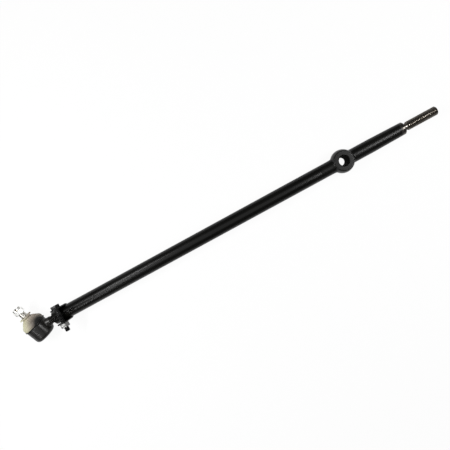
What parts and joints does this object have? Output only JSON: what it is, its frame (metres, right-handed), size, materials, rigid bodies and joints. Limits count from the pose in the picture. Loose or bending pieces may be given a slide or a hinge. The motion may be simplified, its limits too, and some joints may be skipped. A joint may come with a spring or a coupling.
{
  "type": "steering drag link",
  "caption": "Straight tubular steering drag link with a tapered eye near a male threaded end, and a booted ball joint clamped in the slotted tube end.",
  "frame": {"origin": "centre of the ball joint", "axes": "+X along the link from the ball joint to the male thread, +Z along the eye's tapered bore, out of its wide mouth"},
  "size_m": [0.9525, 0.0934, 0.0598],
  "materials": {
    "black_paint": "satin",
    "black_paint_forged": "satin",
    "black_oxide": "satin",
    "zinc_plate": "bright",
    "dark_forging": "semi-gloss",
    "spring_steel": "satin",
    "bearing_steel": "ground",
    "stud_steel": "ground",
    "boot_rubber": "matt"
  },
  "bodies": {
    "link": {"link_tube": "black_paint", "eye_forging": "black_paint_forged", "clamp_strap": "black_oxide", "clamp_bolt": "black_oxide", "clamp_nut": "zinc_plate"},
    "socket": {"socket_housing": "dark_forging", "end_cover": "dark_forging", "disc_spring": "spring_steel", "boot_ring": "black_oxide"},
    "seat": {"thrust_seat": "bearing_steel", "dust_boot": "boot_rubber"},
    "bearing": {"half_ball_bearing": "bearing_steel"},
    "stud": {"ball_stud": "stud_steel", "castle_nut": "zinc_plate"}
  },
  "joints": [
    {"name": "rod_end_turn", "type": "hinge", "parent": "link", "child": "socket", "pos_m": [0.065, 0, 0], "axis": [1, 0, 0], "range_deg": [-180, 180]},
    {"name": "seat_spin", "type": "hinge", "parent": "socket", "child": "seat", "pos_m": [0, 0, 0], "axis": [-0.2511, 0.9372, 0.2419], "continuous": true},
    {"name": "stud_tilt", "type": "hinge", "parent": "seat", "child": "bearing", "pos_m": [0, 0, 0], "axis": [0.9659, 0.2588, 0], "range_deg": [-20, 20], "deforming": ["dust_boot"]},
    {"name": "stud_spin", "type": "hinge", "parent": "bearing", "child": "stud", "pos_m": [0, 0, 0], "axis": [-0.2511, 0.9372, 0.2419], "continuous": true}
  ]
}
